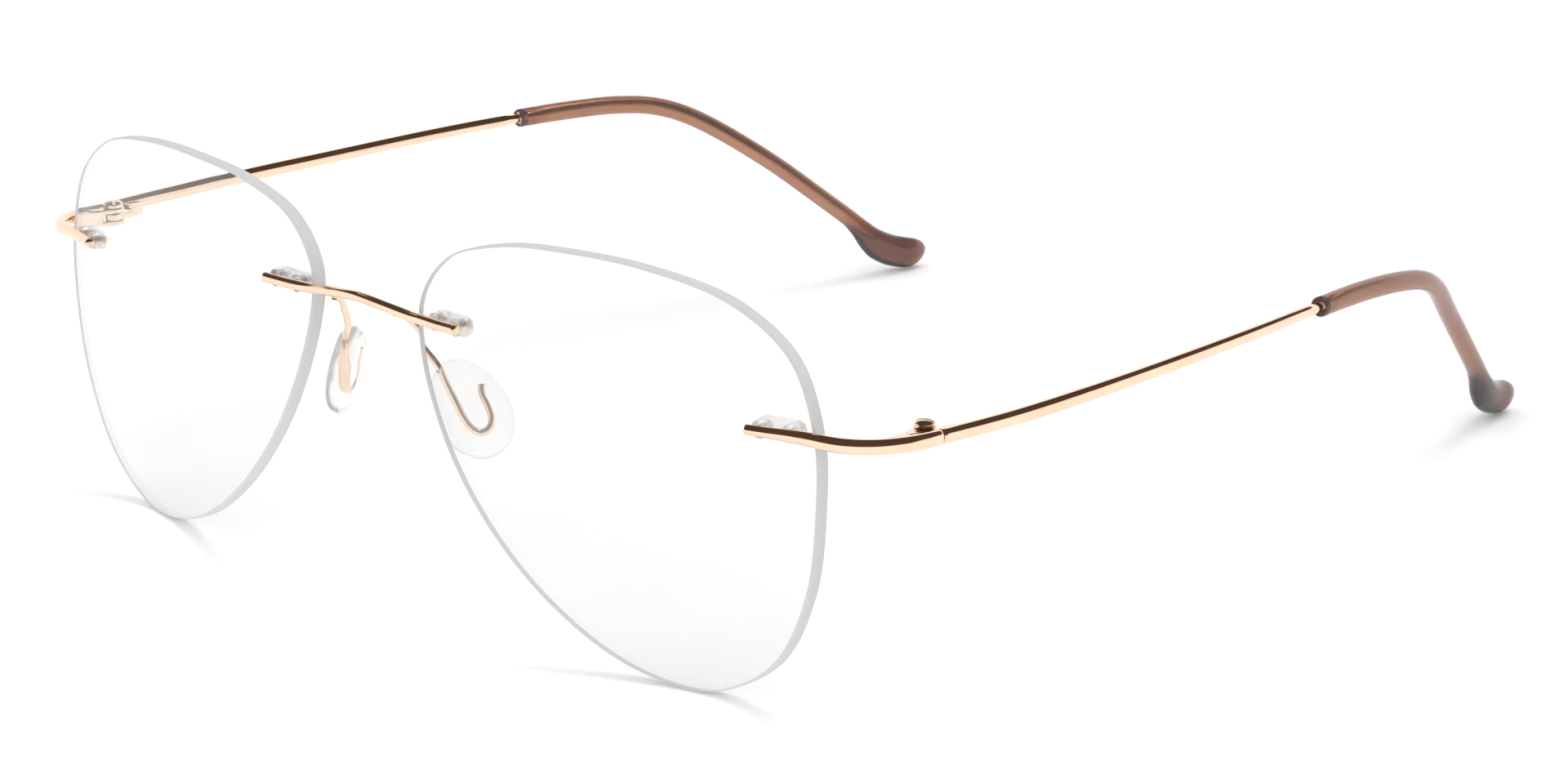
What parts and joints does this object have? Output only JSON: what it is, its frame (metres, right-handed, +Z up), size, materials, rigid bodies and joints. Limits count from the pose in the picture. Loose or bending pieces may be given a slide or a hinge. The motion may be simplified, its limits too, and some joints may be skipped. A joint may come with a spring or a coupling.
{
  "type": "rimless eyeglasses",
  "caption": "Rimless eyeglasses: clear lenses held by pins through the glass, wire bridge, silicone nose pads and wire temples that fold, with translucent tips.",
  "frame": {"origin": "on the resting surface under the middle of the open glasses' bounding box", "axes": "+X to the wearer's left, -Y the way the wearer looks, +Z up from the surface that the lower lens edges and the temple tips stand on"},
  "size_m": [0.1492, 0.1474, 0.0487],
  "materials": {
    "rose_gold_metal": "polished rose-gold plating",
    "screw_metal": "polished plated screw",
    "demo_lens": "clear polished acrylic with a matt cut edge",
    "clear_plug": "clear moulded plastic",
    "clear_silicone": "clear soft silicone",
    "brown_tip": "translucent brown acetate, polished"
  },
  "bodies": {
    "front": {"bridge": "rose_gold_metal", "lens_left": "demo_lens", "endpiece_left": "rose_gold_metal", "lens_plug_bridge_left": "clear_plug", "bridge_pin_inner_left": "rose_gold_metal", "bridge_pin_outer_left": "rose_gold_metal", "lens_plug_endpiece_left": "clear_plug", "endpiece_pin_inner_left": "rose_gold_metal", "endpiece_pin_outer_left": "rose_gold_metal", "hinge_front_leaf_left": "rose_gold_metal", "hinge_screw_left": "screw_metal", "pad_arm_left": "rose_gold_metal", "nose_pad_left": "clear_silicone", "lens_right": "demo_lens", "endpiece_right": "rose_gold_metal", "lens_plug_bridge_right": "clear_plug", "bridge_pin_inner_right": "rose_gold_metal", "bridge_pin_outer_right": "rose_gold_metal", "lens_plug_endpiece_right": "clear_plug", "endpiece_pin_inner_right": "rose_gold_metal", "endpiece_pin_outer_right": "rose_gold_metal", "hinge_front_leaf_right": "rose_gold_metal", "hinge_screw_right": "screw_metal", "pad_arm_right": "rose_gold_metal", "nose_pad_right": "clear_silicone"},
    "temple_left": {"temple_left": "rose_gold_metal", "temple_tip_left": "brown_tip", "hinge_temple_leaf_left": "rose_gold_metal"},
    "temple_right": {"temple_right": "rose_gold_metal", "temple_tip_right": "brown_tip", "hinge_temple_leaf_right": "rose_gold_metal"}
  },
  "joints": [
    {"name": "temple_left_fold", "type": "hinge", "parent": "front", "child": "temple_left", "pos_m": [0.0709, -0.05309, 0.03114], "axis": [0, 0.0611, 0.9981], "range_deg": [0, 84]},
    {"name": "temple_right_fold", "type": "hinge", "parent": "front", "child": "temple_right", "pos_m": [-0.0709, -0.05309, 0.03114], "axis": [0, -0.0611, -0.9981], "range_deg": [0, 79]}
  ]
}
